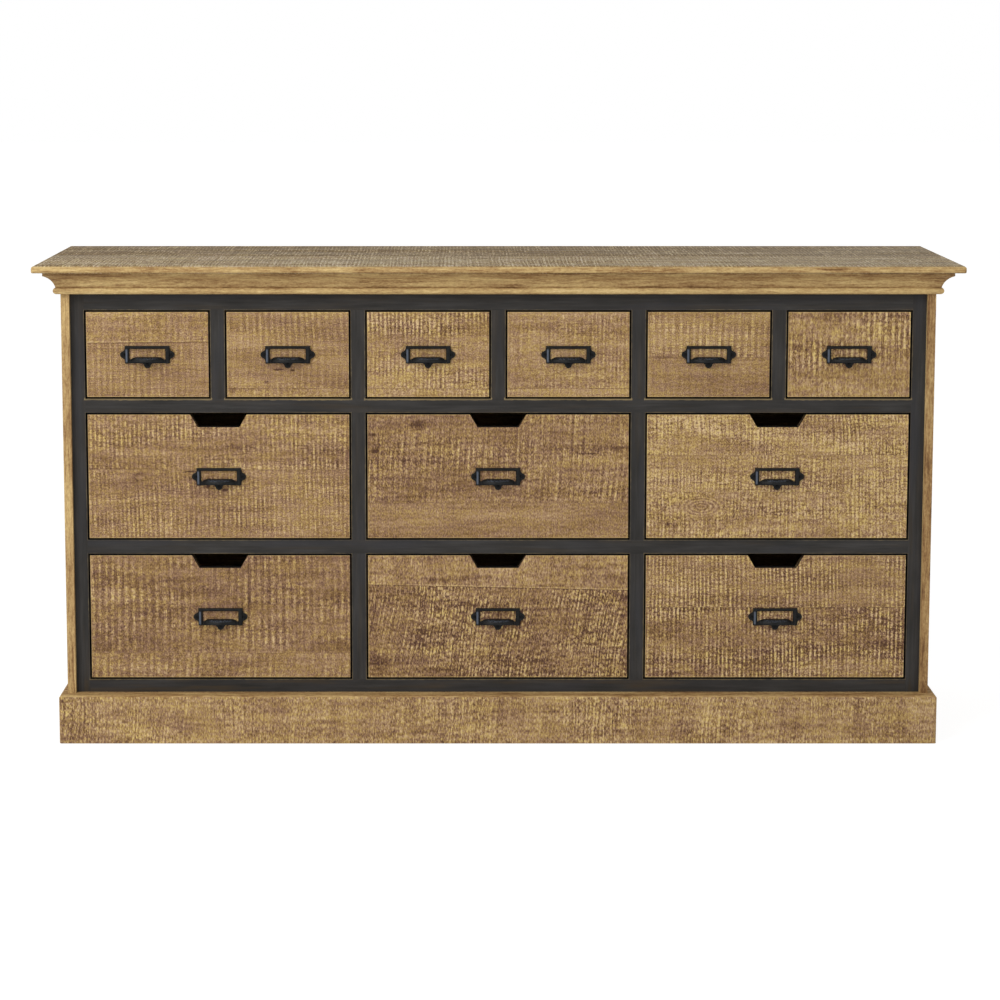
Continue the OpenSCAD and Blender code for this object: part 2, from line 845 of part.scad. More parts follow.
module pull_screw() {
    difference() {
        union() {
            cylinder(r = pull_screw_r, h = plate_t + pull_screw_l);
            pull_screw_head(0);
            translate([0, 0, -head_rise])
                cylinder(r1 = pull_head_r - head_rise, r2 = pull_head_r, h = head_rise);
        }
        rotate([0, 0, slot_turn]) translate([-pull_head_r - 1, -slot_w / 2, -head_rise - 1])
            cube([2 * pull_head_r + 2, slot_w, head_rise + 1 + slot_d]);
    }
}

module label_pull(open_h) {
    translate([0, drawer_y, open_h / 2]) {
        color(IRON) pull_casting();
        color(STEEL) for (p = pull_screws)
            translate([p[0], -plate_t, p[1]]) rotate([-90, 0, 0]) pull_screw();
    }
}

module small_at(i) { translate([small_x(i), 0, up_z]) children(); }
module large_at(i) { translate([large_x(i), 0, large_z(i)]) children(); }

top_planks();
cornice_front();
cornice_left();
cornice_right();
side_panel_left();
side_panel_right();
back_panel();
floor_panel();
frame_stiles();
frame_rails();
frame_mullions();
partitions();
drawer_runners();
drawer_guides();
drawer_stops();
kicker_strips();
top_battens();
back_rails();
plinth_front();
plinth_ends();
plinth_back();
plinth_bearers();
plinth_blocks();
back_screws();
for (i = SMALL) {
    small_at(i) drawer_front(small_open_w, small_open_h, false);
    small_at(i) drawer_box(small_open_w, small_open_h);
    small_at(i) label_pull(small_open_h);
}
for (i = LARGE) {
    large_at(i) drawer_front(large_open_w, large_open_h, true);
    large_at(i) drawer_box(large_open_w, large_open_h);
    large_at(i) label_pull(large_open_h);
}
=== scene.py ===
# %% [markdown]
# # A shop counter with twelve drawers
#
# The counter's boards, drawers and castings come in as solids at their real size. This
# lesson gives them their looks: rough-sawn planks whose saw marks cross the grain, planed
# mouldings, black paint that is rubbed through along its edges, and blackened iron.

# %% Load the counter
import math

import bpy
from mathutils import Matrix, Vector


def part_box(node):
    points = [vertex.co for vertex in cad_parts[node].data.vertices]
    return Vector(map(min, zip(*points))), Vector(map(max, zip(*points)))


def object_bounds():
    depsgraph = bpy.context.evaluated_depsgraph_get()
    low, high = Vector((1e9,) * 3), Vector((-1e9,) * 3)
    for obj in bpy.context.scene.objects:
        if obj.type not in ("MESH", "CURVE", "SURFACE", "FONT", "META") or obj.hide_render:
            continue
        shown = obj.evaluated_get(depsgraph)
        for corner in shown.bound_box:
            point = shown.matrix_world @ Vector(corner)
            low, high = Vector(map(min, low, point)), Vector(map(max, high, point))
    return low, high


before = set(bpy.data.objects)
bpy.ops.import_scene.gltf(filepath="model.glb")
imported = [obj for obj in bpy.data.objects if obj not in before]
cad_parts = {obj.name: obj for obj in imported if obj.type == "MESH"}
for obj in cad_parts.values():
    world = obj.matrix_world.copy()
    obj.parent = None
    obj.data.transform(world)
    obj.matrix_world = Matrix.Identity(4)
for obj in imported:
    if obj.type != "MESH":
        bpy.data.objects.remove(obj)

counter_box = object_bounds()
print("The counter's box:", counter_box)

# %% [markdown]
# ## The camera
#
# The photograph was taken with a level camera and a lens that was shifted down. A shift that
# large would push the counter out of every other view, so this camera takes as much of it
# as they allow and looks down for the rest. Its place was found by fitting the corners of the
# top, the drawer fronts and the plinth to the photograph.

# %% Camera
CAMERA_SHIFT = (0.037, -0.16)
CAMERA_DISTANCE = 5.106
CAMERA_HEIGHT = 1.46
CAMERA_SIDE = -0.0726
CAMERA_PITCH = math.radians(6.82)
LENS = 91.0
SENSOR = 36.0

FRONT_EDGE = counter_box[0][1]
lens = bpy.data.cameras.new("camera")
lens.lens = LENS
lens.sensor_width = SENSOR
lens.shift_x, lens.shift_y = CAMERA_SHIFT
camera = bpy.data.objects.new("camera", lens)
camera.location = (CAMERA_SIDE, FRONT_EDGE - CAMERA_DISTANCE, CAMERA_HEIGHT)
camera.rotation_euler = (math.pi / 2 - CAMERA_PITCH, 0.0, 0.0)
bpy.context.scene.collection.objects.link(camera)
bpy.context.scene.camera = camera
print("The camera stands", CAMERA_DISTANCE, "m in front of the top's edge")

# %% [markdown]
# ## Writing a material as sums
#
# A procedural material is a small calculation that runs at every point of a surface. It could
# be wired by hand in the node editor, but a long one is easier to read as a formula. `Value`
# is a number in that calculation, and its operators add Math nodes.

# %% Values
class Value:
    """A number on its way through a material."""

    def __init__(self, finish, socket):
        self.finish = finish
        self.socket = socket

    def sum_of(self, operation, first, second=0.0):
        return self.finish.add("Math", {"operation": operation}, {0: first, 1: second})

    def __add__(self, other):
        return self.sum_of("ADD", self, other)

    def __sub__(self, other):
        return self.sum_of("SUBTRACT", self, other)

    def __rsub__(self, other):
        return self.sum_of("SUBTRACT", other, self)

    def __mul__(self, other):
        return self.sum_of("MULTIPLY", self, other)

    def __truediv__(self, other):
        return self.sum_of("DIVIDE", self, other)

    def __abs__(self):
        return self.sum_of("ABSOLUTE", self)

    __radd__ = __add__
    __rmul__ = __mul__

    def power(self, other):
        return self.sum_of("POWER", self, other)

    def wave(self, length):
        """A wave from -1 to 1 that repeats after each length."""
        return self.sum_of("SINE", self * (2.0 * math.pi) / length)

    def zigzag(self, half_length):
        """Up from 0 to half the length and down again, over and over."""
        return self.sum_of("PINGPONG", self, half_length)

    def lower_of(self, other):
        return self.sum_of("MINIMUM", self, other)

    def upper_of(self, other):
        return self.sum_of("MAXIMUM", self, other)

    def rise(self, start, end):
        """0 before start, 1 after end and a smooth slope between; falls if end is lower."""
        if end < start:
            return 1.0 - self.rise(end, start)
        return self.finish.add("MapRange", {"interpolation_type": "SMOOTHSTEP"},
                               {"Value": self, "From Min": start, "From Max": end})


print("A Value knows", ", ".join(name for name in vars(Value) if not name.startswith("_")))

# %% [markdown]
# Colours are written as a picture editor shows them. A shader counts light instead, so
# `colour` turns one into the other, with the curve that every screen uses.

# %% Colours
def colour(red, green, blue):
    """A colour as a picture editor shows it, turned into the light values of a shader."""
    light = [c / 12.92 if c <= 0.04045 else ((c + 0.055) / 1.055) ** 2.4
             for c in (red, green, blue)]
    return (*light, 1.0)


print("A middle grey of 0.5 reflects", round(colour(0.5, 0.5, 0.5)[0], 3), "of the light")

# %% [markdown]
# `Finish` is one material. Its `add` makes any node from its type, its settings and what goes
# into its sockets, and the other methods are the few that every finish here needs: the point
# on the counter, the way that the surface faces, noise, a blend, a colour ramp and a relief.

# %% Finishes
class Finish:
    """A material that is built node by node."""

    def __init__(self, name):
        self.material = bpy.data.materials.new(name)
        self.material.use_nodes = True
        tree = self.material.node_tree
        self.nodes = tree.nodes
        self.links = tree.links
        self.nodes.clear()
        self.shader = self.nodes.new("ShaderNodeBsdfPrincipled")
        output = self.nodes.new("ShaderNodeOutputMaterial")
        self.links.new(self.shader.outputs[0], output.inputs[0])

    def feed(self, socket, value):
        if isinstance(value, Value):
            self.links.new(value.socket, socket)
        else:
            socket.default_value = value

    def add(self, kind, settings=None, sockets=None, out=0):
        """Any node, by its type, its settings and what goes into its sockets."""
        node = self.nodes.new("ShaderNode" + kind)
        for name, setting in (settings or {}).items():
            if name == "stops":
                self.set_stops(node.color_ramp, setting)
            else:
                setattr(node, name, setting)
        for name, value in (sockets or {}).items():
            self.feed(node.inputs[name], value)
        return Value(self, node.outputs[out])

    def set_stops(self, ramp, stops):
        while len(ramp.elements) < len(stops):
            ramp.elements.new(1.0)
        for element, (place, shade) in zip(ramp.elements, stops):
            element.position = place
            element.color = shade

    def place(self):
        """The point on the counter, as x, y and z in metres."""
        point = self.add("TexCoord", out="Object")
        apart = self.add("SeparateXYZ", sockets={0: point})
        node = apart.socket.node
        return {axis: Value(self, node.outputs[axis]) for axis in "XYZ"}

    def facing(self):
        """How much the surface faces along X, Y and Z, without its sign."""
        normal = self.add("NewGeometry", out="Normal")
        apart = self.add("SeparateXYZ", sockets={0: normal})
        node = apart.socket.node
        return {axis: abs(Value(self, node.outputs[axis])) for axis in "XYZ"}

    def noise(self, x, y, z=0.0, detail=1.0, rough=0.5):
        """Soft noise from 0 to 1, about one hill for each unit of x, y and z."""
        point = self.add("CombineXYZ", sockets={0: x, 1: y, 2: z})
        return self.add("TexNoise", sockets={"Vector": point, "Scale": 1.0, "Detail": detail,
                                             "Roughness": rough})

    def mix(self, factor, first, second, how="MIX"):
        return self.add("Mix", {"data_type": "RGBA", "blend_type": how},
                        {0: factor, 6: first, 7: second}, out=2)

    def ramp(self, value, stops):
        return self.add("ValToRGB", {"stops": stops}, {0: value})

    def bump(self, height, depth, strength=1.0):
        """Relief in metres, from a height of 0 to 1 and the depth that it stands for."""
        normal = self.add("Bump", sockets={"Height": height, "Distance": depth,
                                           "Strength": strength})
        self.feed(self.shader.inputs["Normal"], normal)

    def base(self, shade):
        self.feed(self.shader.inputs["Base Color"], shade)

    def rough(self, value):
        self.feed(self.shader.inputs["Roughness"], value)

    def shine(self, level, metal=0.0):
        """How strongly the surface mirrors, and how much of a metal it is."""
        self.shader.inputs["Specular IOR Level"].default_value = level
        self.shader.inputs["Metallic"].default_value = metal


def dress(finish, *nodes):
    """Give a finish to pieces of the counter."""
    for node in nodes:
        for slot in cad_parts[node].material_slots:
            slot.material = finish.material


print("Pieces to dress:", len(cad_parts))

# %% [markdown]
# ## Rough-sawn planks
#
# A band saw leaves ridges across a plank, one for each 8 to 15 mm of feed. The blade
# shakes, so the ridges wander and are broken up into beads. Stain settles in the hollows
# and is wiped off the ridges, which leaves them golden and the hollows a mauve brown. A
# photograph of wood could be wrapped round each board, but it would repeat, and would have to
# come from somewhere. A formula gives each board its own marks: it adds ridges, beads and
# grain up to one number, the shade, and a colour ramp turns the shade into stained wood.

# %% Stain
SAW_PITCH = 0.0088
SAW_DEPTH = 0.0006

GOLDEN_STAIN = [(0.00, colour(0.302, 0.205, 0.168)), (0.28, colour(0.463, 0.345, 0.269)),
                (0.50, colour(0.595, 0.472, 0.358)), (0.72, colour(0.708, 0.59, 0.440)),
                (1.00, colour(0.833, 0.725, 0.55))]
GREY_STAIN = [(0.00, colour(0.382, 0.295, 0.19)), (0.28, colour(0.513, 0.42, 0.305)),
              (0.50, colour(0.603, 0.517, 0.415)), (0.72, colour(0.693, 0.615, 0.53)),
              (1.00, colour(0.803, 0.74, 0.68))]
print("The saw marks repeat every", SAW_PITCH * 1000, "mm, unless a board says otherwise")

# %% [markdown]
# A drawer front is glued up from boards, which differ in tone and in their saw marks, and a dark
# crack or a pale edge, worn and painted lighter as a highlight, shows where they meet. Each could
# be a piece of its own, but here the front is one solid, so its material changes at the height of
# each joint.

# %% Planks
SHARP_CHANGE = 0.0004
SOFT_CHANGE = 0.012
JOINT_WANDER = 0.0024
NEXT_BOARD = 3.7


class Plank:
    """A board of a glued-up panel: its upper edge, and how it differs from the others.

    Without a crack above it, it is the same board, whose saw marks change over a few
    millimetres.
    """

    def __init__(self, top=None, tone=0.0, marks=1.0, slope=0.0, lean=0.0, pale_edge=0.0,
                 crack=0.2):
        self.top = top
        self.tone = tone
        self.marks = marks
        self.slope = slope
        self.lean = lean
        self.pale_edge = pale_edge
        self.crack = crack


def over_planks(finish, along, across, planks, seed):
    """The tone, the strength and lean of the saw marks, the plank's seed, and its joints."""
    first = planks[0]
    tone, marks, lean, own = first.tone, first.marks, first.lean, seed
    joints = 0.0
    wander = finish.noise(along * 60.0, seed) * JOINT_WANDER - JOINT_WANDER / 2
    for below, plank in zip(planks, planks[1:]):
        height = across - (along * below.slope + (below.top + wander))
        change = SHARP_CHANGE if below.crack else SOFT_CHANGE
        above = height.rise(-change, change)
        tone = above * (plank.tone - below.tone) + tone
        marks = above * (plank.marks - below.marks) + marks
        lean = above * (plank.lean - below.lean) + lean
        own = above * (NEXT_BOARD if below.crack else 0.0) + own
        crack = height.rise(-0.0026, -0.0006) * height.rise(0.0008, -0.0006)
        # A pale line just above a joint: worn, and painted lighter as a highlight.
        lit = height.rise(-0.0004, 0.0012) * height.rise(0.0042, 0.0012)
        joints = lit * plank.pale_edge - crack * below.crack + joints
    return tone, marks, lean, own, joints


print("A joint without a crack fades over", SOFT_CHANGE * 1000, "mm to either side")

# %% [markdown]
# A knot is an oval of dark wood, some with rings around it, and a saw leaves a knot smoother
# than the wood beside it. A dark speck or a thin stroke is the same with other proportions. The
# distance from its middle, counted in its own half sizes, is all that the formula needs.

# %% Knots
RING_SPACING = 0.5
RING_REACH = (3.2, 1.4)
CALM_REACH = (3.2, 1.2)


class Knot:
    """A knot or a dark speck: its middle, its half width and half height, and its depth."""

    def __init__(self, along, across, width, height, depth=0.3, rings=0.0, calm=0.0):
        self.along = along
        self.across = across
        self.width = width
        self.height = height
        self.depth = depth
        self.rings = rings
        self.calm = calm


def knot_shade(finish, along, across, knots):
    """How much darker the knots make each point, and how much of the saw marks they wipe out."""
    dark, calm = 0.0, 0.0
    if not knots:
        return dark, calm
    ragged = finish.noise(along * 300.0, across * 300.0) * 0.8 - 0.4
    for knot in knots:
        out = ((along - knot.along) / knot.width).power(2.0)
        up = ((across - knot.across) / knot.height).power(2.0)
        reach = (out + up).power(0.5)
        dark = (reach + ragged).rise(1.2, 0.2) * knot.depth + dark
        if knot.rings:
            ring = (reach + ragged * 0.3).wave(RING_SPACING) * reach.rise(*RING_REACH)
            dark = ring * knot.rings + dark
        if knot.calm:
            calm = reach.rise(*CALM_REACH) * knot.calm + calm
    return dark, calm


print("Rings fade out at", RING_REACH[0], "times the knot's own half size")

# %% [markdown]
# Wax and wear come last. Old wax is yellow here and nearly clear there, so it is multiplied over
# the stain in patches. Hands rub the outermost two millimetres of a drawer front pale, and that rim
# is also painted lighter, a painted highlight where its arris catches the light. Its edges get
# painted shade, near black, so that the gaps around it stay dark when it is shut.

# %% Wax, worn and highlit rims, and painted gap shade
OLD_WAX = (0.985, 1.0, 0.66, 1.0)
# Painted highlight: the rim colour stands for rubbed wear and for light catching the arris.
RUBBED_AND_HIGHLIT_RIM = colour(0.80, 0.68, 0.45)
# Painted shade for the front's edges, and how deep it reaches into their sides.
PAINTED_GAP_SHADE = colour(0.05, 0.043, 0.036)
GAP_SHADE_DEPTH = 0.007


def rim(finish, along, across, low, high):
    """1 on the outermost two millimetres of a board, broken up here and there."""
    reach = (along - low[0]).lower_of(high[0] - along + 0.0015)
    reach = reach.lower_of(across - low[1]).lower_of(high[1] - across)
    patches = finish.noise(along * 40.0, across * 40.0, detail=1.0)
    return (reach + patches * 0.003).rise(0.0050, 0.0032)


def waxed(finish, stained, along, across, seed):
    """Old wax is yellow here and nearly clear there, in patches and in fine specks."""
    patches = finish.noise(along * 14.0, across * 45.0, seed + 40.0, detail=1.0)
    specks = finish.noise(along * 170.0, across * 170.0, seed + 43.0, detail=1.0)
    yellow = (patches * 0.35 + specks * 0.65).rise(0.36, 0.64)
    return finish.mix(yellow, stained, OLD_WAX, "MULTIPLY")


def rim_and_gap_shade(finish, stained, front, along, across, through):
    """A drawer front's rim, rubbed pale and painted lighter as a highlight, and painted shade on
    its edges.
    """
    low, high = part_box(front)
    # The rim is rubbed wear and also a painted highlight where the arris catches the light.
    retouch = rim(finish, along, across, (low[0], low[2]), (high[0], high[2]))
    stained = finish.mix(retouch * 0.5, stained, RUBBED_AND_HIGHLIT_RIM)
    # Painted shade: the top and bottom faces, and the sides near the face, are made near black so
    # the gaps look dark.
    facing = finish.facing()
    outer = (through - low[1]).rise(GAP_SHADE_DEPTH + 0.001, GAP_SHADE_DEPTH)
    edge = facing["Z"].rise(0.3, 0.6).upper_of(facing["X"].rise(0.3, 0.6) * outer)
    return finish.mix(edge, stained, PAINTED_GAP_SHADE)


# The painted shade covers the sides of a front to this depth.
print("A front's sides are stained over the first", GAP_SHADE_DEPTH * 1000, "mm of their depth")

# %% [markdown]
# Now the board itself. The ridges are a sine wave along the feed of the saw, and noise shifts
# its place. The rest is noise as well, stretched along the board or across it: warp and weft
# for the fine strokes that cross in the saw marks, grain, and broad streaks, bands and clouds.
# The ridges lift the surface too, through a bump.

# %% Rough-sawn wood
DRIFT = 0.025
SHAKE = 0.002
MIDDLE_SHADE = 0.51
MATT = 0.2


def saw_path(finish, along, across, through, own, lean, sway, bead):
    """How far each point is along the feed of the saw, in metres, as the blade wandered."""
    sweep = (finish.noise(along * 4.0, across * 4.0, own) - 0.5) * sway
    drift = (finish.noise(along * 9.0, across * 0.8, own + 17.0) - 0.5) * DRIFT
    shake = (finish.noise(along * 85.0, across * (0.05 / bead), own) - 0.5) * SHAKE
    return along + across * lean + through + sweep + drift + shake


def rough_sawn(name, along="X", across="Z", through="Y", seed=0.0, planks=None, knots=(),
               stain=GOLDEN_STAIN, pitch=SAW_PITCH, sway=0.02, bead=0.0055, coarse=1.0,
               even=1.0, zones=0.0, contrast=1.0, front=None):
    """A sawn board, or a panel of them.

    pitch is the distance between ridges and bead the length of their strokes, in metres. A
    coarse saw leaves wider strokes, an even one regular ridges, and zones are stripes that
    took up more stain.
    """
    finish = Finish(name)
    place = finish.place()
    along, across, through = place[along], place[across], place[through]
    planks = planks or [Plank()]
    tone, marks, lean, own, joints = over_planks(finish, along, across, planks, seed)
    dark, calm = knot_shade(finish, along, across, knots)
    marks = marks * (1.0 - calm)

    feed = saw_path(finish, along, across, through, own, lean, sway, bead)
    ridges = feed.wave(pitch).rise(-0.5, 1.0)
    weft = finish.noise(along * 75.0, across * (1.55 / bead), own + 2.0, detail=1.0)
    beads = weft.rise(0.36, 0.60)
    warp = finish.noise(feed * (310.0 / coarse), across * (0.09 / bead), own,
                        detail=1.0 + coarse, rough=0.8)
    grain = finish.noise(along * 430.0, across * (2.2 / bead), own + 5.0, detail=1.0, rough=0.8)
    streaks = finish.noise(along * 12.0, across * (1.7 / bead), own + 8.0, detail=1.0)
    bands = finish.noise(along * 5.0, across * 62.0, own + 14.0, detail=1.0)
    clouds = finish.noise(along * 4.0, across * 22.0, own + 11.0, detail=1.5)
    stripes = finish.noise(along * 22.0, across * 3.0, own + 30.0, detail=1.0)
    patches = finish.noise(along * 6.0, across * (0.15 / bead), own + 23.0, detail=2.0)
    strength = patches.rise(0.30, 0.66) * (marks * 0.85) + marks * 0.25

    # Each layer, its middle, the weight that saw marks give it, and its weight without them
    layers = [(ridges, 0.42, 0.14 * even, 0.0),
              (ridges * beads, 0.22, 0.26 * even, 0.0),
              (beads, 0.5, 0.16 - 0.12 * even, 0.04),
              (warp, 0.5, 0.60, 0.34),
              ((warp - 0.5) * (weft - 0.5), 0.0, 1.6, 1.8),
              (grain, 0.5, 0.6, 0.92),
              (streaks, 0.5, 0.0, 0.24),
              (bands, 0.5, 0.0, 0.30),
              (clouds, 0.5, 0.0, 0.36),
              (stripes, 0.5, 0.0, zones)]
    shade = 0.0
    for layer, middle, marked, anywhere in layers:
        weight = strength * marked + anywhere if marked else anywhere
        shade = (layer - middle) * weight + shade
    shade = shade * contrast + joints + tone + MIDDLE_SHADE - dark
    stained = waxed(finish, finish.ramp(shade, stain), along, across, own)
    if front:
        stained = rim_and_gap_shade(finish, stained, front, along, across, through)
    finish.base(stained)
    finish.rough(0.82 - ridges * 0.1)
    relief = ridges * (strength * 0.4) + warp * 0.5 + beads * 0.25 + grain * 0.5 + joints
    finish.bump(relief, SAW_DEPTH)
    finish.shine(MATT)
    return finish


print("A relief of 1 on a sawn board is", SAW_DEPTH * 1000, "mm high")

# %% [markdown]
# ## The drawer fronts
#
# No two fronts are alike. One finish for all of them would be shorter, but then the counter
# would look printed. Each is glued up from one to three boards, listed from the lowest one up
# with the height of their joints, and the joints, knots and specks were read off the
# photograph. Places are from the counter's middle and heights from the floor, in metres.

# %% The small drawers' boards
FRONTS = {
    "small_drawer_1": dict(
        planks=[Plank(0.8447, -0.04, 0.45, slope=0.01),
                Plank(tone=0.0, marks=0.35, pale_edge=0.14)],
        pitch=0.0124),
    "small_drawer_2": dict(
        planks=[Plank(0.742, 0.0, 0.4, crack=0.14), Plank(0.845, tone=-0.01, marks=0.35, crack=0.0),
                Plank(tone=-0.02, marks=0.5)],
        knots=[Knot(-0.453, 0.781, 0.012, 0.0026, 0.5), Knot(-0.424, 0.779, 0.006, 0.0026, 0.65),
               Knot(-0.478, 0.755, 0.006, 0.003, 0.45), Knot(-0.548, 0.738, 0.012, 0.012, 0.15)],
        pitch=0.0130),
    "small_drawer_3": dict(
        planks=[Plank(0.741, 0.07, 0.6, crack=0.14),
                Plank(0.855, tone=0.03, marks=0.75, crack=0.0), Plank(tone=0.0, marks=1.25)],
        knots=[Knot(-0.278, 0.792, 0.026, 0.010, 0.04, 0.06)], pitch=0.0084, sway=0.012),
    "small_drawer_4": dict(
        planks=[Plank(0.742, 0.04, 0.35, crack=0.14), Plank(tone=0.01, marks=0.45)], pitch=0.0084),
    "small_drawer_5": dict(
        planks=[Plank(0.806, -0.03, 0.12, crack=0.08), Plank(tone=0.02, marks=0.7)],
        knots=[Knot(0.556, 0.793, 0.030, 0.016, 0.02, 0.05),
               Knot(0.337, 0.805, 0.022, 0.010, 0.12)],
        pitch=0.0132, sway=0.008),
    "small_drawer_6": dict(
        planks=[Plank(0.785, 0.01, 0.35, crack=0.0), Plank(tone=0.03, marks=1.2)],
        knots=[Knot(0.705, 0.83, 0.0012, 0.06, 0.3)], pitch=0.0112, sway=0.01, bead=0.012),
}
print("Small drawer fronts described:", len(FRONTS))

# %% The large drawers' boards
FRONTS.update({
    "large_drawer_1": dict(
        planks=[Plank(0.572, -0.06, 0.7, crack=0.05), Plank(tone=-0.06, marks=0.9)],
        knots=[Knot(-0.7448, 0.556, 0.018, 0.0125, 0.30, calm=0.5),
               Knot(-0.7415, 0.5555, 0.011, 0.007, -0.36),
               Knot(-0.638, 0.5675, 0.013, 0.0018, 0.6),
               Knot(-0.602, 0.5365, 0.006, 0.004, 0.6),
               Knot(-0.566, 0.5292, 0.007, 0.003, 0.6)],
        pitch=0.0094, sway=0.012),
    "large_drawer_2": dict(
        planks=[Plank(0.502, -0.05, 0.35, crack=0.08),
                Plank(tone=-0.09, marks=0.85, lean=-0.05)],
        knots=[Knot(-0.165, 0.6655, 0.024, 0.012, 0.34), Knot(-0.256, 0.611, 0.011, 0.006, 0.5),
               Knot(-0.260, 0.645, 0.012, 0.004, 0.32), Knot(-0.199, 0.590, 0.008, 0.004, 0.32),
               Knot(0.188, 0.605, 0.024, 0.0018, 0.4), Knot(0.250, 0.617, 0.034, 0.007, 0.16),
               Knot(-0.20, 0.512, 0.12, 0.010, 0.14),
               Knot(0.06, 0.455, 0.16, 0.025, 0.0, calm=0.7)],
        pitch=0.0113, sway=0.016, bead=0.0105, even=0.75, contrast=1.03),
    "large_drawer_3": dict(
        planks=[Plank(0.525, 0.06, 0.95, crack=0.03),
                Plank(0.602, tone=0.06, marks=1.05, crack=0.04), Plank(tone=0.09, marks=1.1)],
        knots=[Knot(0.4215, 0.4935, 0.022, 0.0105, 0.06, 0.14, calm=1.0),
               Knot(0.352, 0.456, 0.003, 0.008, 0.6)],
        pitch=0.0078, sway=0.028, bead=0.0078, even=0.7, contrast=1.12),
    "large_drawer_4": dict(
        planks=[Plank(0.184, -0.03, 0.55, lean=-0.06, crack=0.1),
                Plank(tone=-0.12, marks=0.9, pale_edge=0.12)],
        knots=[Knot(-0.519, 0.29, 0.0013, 0.13, 0.3), Knot(-0.419, 0.291, 0.020, 0.008, 0.12)],
        pitch=0.0144, sway=0.012, bead=0.0085, contrast=0.88),
    "large_drawer_5": dict(
        planks=[Plank(0.3235, -0.13, 1.4, slope=-0.022, lean=-0.11),
                Plank(tone=0.0, marks=0.25, pale_edge=0.22)],
        knots=[Knot(0.137, 0.177, 0.006, 0.004, 0.35), Knot(-0.245, 0.155, 0.030, 0.022, 0.24),
               Knot(-0.10, 0.150, 0.080, 0.010, 0.12)],
        pitch=0.0078, sway=0.03, bead=0.014, coarse=1.3, even=0.5, zones=0.25,
        contrast=1.26),
    "large_drawer_6": dict(
        planks=[Plank(0.161, -0.03, 1.1, crack=0.0), Plank(0.281, -0.09, 1.6, crack=0.12),
                Plank(tone=-0.02, marks=1.15)],
        knots=[Knot(0.806, 0.205, 0.030, 0.010, 0.16), Knot(0.36, 0.141, 0.040, 0.006, 0.16)],
        pitch=0.0086, sway=0.012, bead=0.0078, contrast=1.06),
})
print("Drawer fronts described:", len(FRONTS))

# %% Drawer fronts
SEED_STEP = 7.3

for number, (drawer, looks) in enumerate(FRONTS.items()):
    front = drawer + "_front"
    dress(rough_sawn(front, seed=number * SEED_STEP, front=front, **looks), front)
print("Dressed", len(FRONTS), "drawer fronts")

# %% [markdown]
# ## Planed wood
#
# The mouldings and side panels are planed, which wipes the saw marks off and shows the grain
# instead: thin lines along the board, and here and there a brown streak. A board is cut out of
# a log, so the lines run on from its face into its edge. That is why the noise takes all
# three directions, and is only stretched along the board.

# %% Planed wood
SATIN = 0.25
GRAIN_DEPTH = 0.0003
GOLDEN_WOOD = [(0.00, colour(0.41, 0.285, 0.165)), (0.30, colour(0.585, 0.455, 0.288)),
               (0.52, colour(0.695, 0.575, 0.383)), (0.75, colour(0.78, 0.668, 0.452)),
               (1.00, colour(0.87, 0.77, 0.56))]


def planed_shade(finish, along, across, through, seed, tone=0.0, short=2.6):
    """Grain lines along a planed board, the shorter the higher short is, and brown streaks."""
    sway = finish.noise(along * 3.0, across * 12.0, through * 12.0 + seed) * 0.010
    rings = across + sway
    depth = through + sway
    fine = finish.noise(along * (16.0 * short), rings * 380.0, depth * 380.0 + seed, detail=2.0,
                        rough=0.7)
    middle = finish.noise(along * (9.0 * short), rings * 150.0, depth * 150.0 + seed, detail=2.0)
    broad = finish.noise(along * 5.0, rings * 45.0, depth * 45.0 + seed, detail=2.0)
    flecks = finish.noise(along * 150.0, rings * 300.0, depth * 300.0 + seed, detail=1.0,
                          rough=0.8)
    streak = finish.noise(along * 8.0, rings * 250.0, depth * 250.0 + seed + 9.0)
    shade = (fine - 0.5) * 0.85 + (middle - 0.5) * 0.60 + (broad - 0.5) * 0.90 + (0.5 + tone)
    shade = (flecks - 0.5) * 0.60 + shade
    return shade - streak.rise(0.62, 0.76) * 0.26, fine


def planed_surface(finish, shade, fine, wood):
    """Planed wood in its colours, a little rougher along its finest grain lines."""
    finish.base(finish.ramp(shade, wood))
    finish.rough(0.58 + fine * 0.2)
    finish.bump(fine, GRAIN_DEPTH)
    finish.shine(SATIN)
    return finish


def planed(name, along, across, through, seed, wood=GOLDEN_WOOD, retouch=None, short=1.2):
    finish = Finish(name)
    place = finish.place()
    shade, fine = planed_shade(finish, place[along], place[across], place[through], seed,
                               short=short)
    if retouch:
        shade = shade + retouch(finish, place, place[along])
    return planed_surface(finish, shade, fine, wood)


print("Planed wood has", len(GOLDEN_WOOD), "colours, from its darkest lines to its palest")

# %% [markdown]
# ## The top and the plinth
#
# The top is sawn like the fronts, but dust and use have turned its stain grey. Its edges
# were planed, so they show plain golden wood. The plinth's front is sawn too, with a planed
# upper edge. Each is one solid, so the material asks which way the surface faces and blends
# the sawn finish with the planed one.

# %% Top and plinth
DUST = colour(0.585, 0.545, 0.47)
TOP_JOINT = FRONT_EDGE + 0.234


def sawn_with_planed_edges(name, sawn_side, across, tone, dusty=False, **looks):
    """Sawn where the board faces along one axis, planed elsewhere."""
    finish = rough_sawn(name, across=across, through="Y" if across == "Z" else "Z", **looks)
    sawn = finish.shader.inputs["Base Color"].links[0].from_socket
    place = finish.place()
    shade, _ = planed_shade(finish, place["X"], place["Y"], place["Z"], looks["seed"] + 4.0,
                            tone)
    broad_side = finish.facing()[sawn_side].rise(0.6, 0.97)
    sawn = Value(finish, sawn)
    if dusty:
        bands = finish.noise(place["X"] * 1.6, place["Y"] * 24.0, 4.0, detail=2.0)
        far_end = place["X"].rise(0.1, 0.9)
        sawn = finish.mix(bands.rise(0.35, 0.65) * 0.35 + far_end * 0.2, sawn, DUST)
    finish.base(finish.mix(broad_side, finish.ramp(shade, GOLDEN_WOOD), sawn))
    return finish


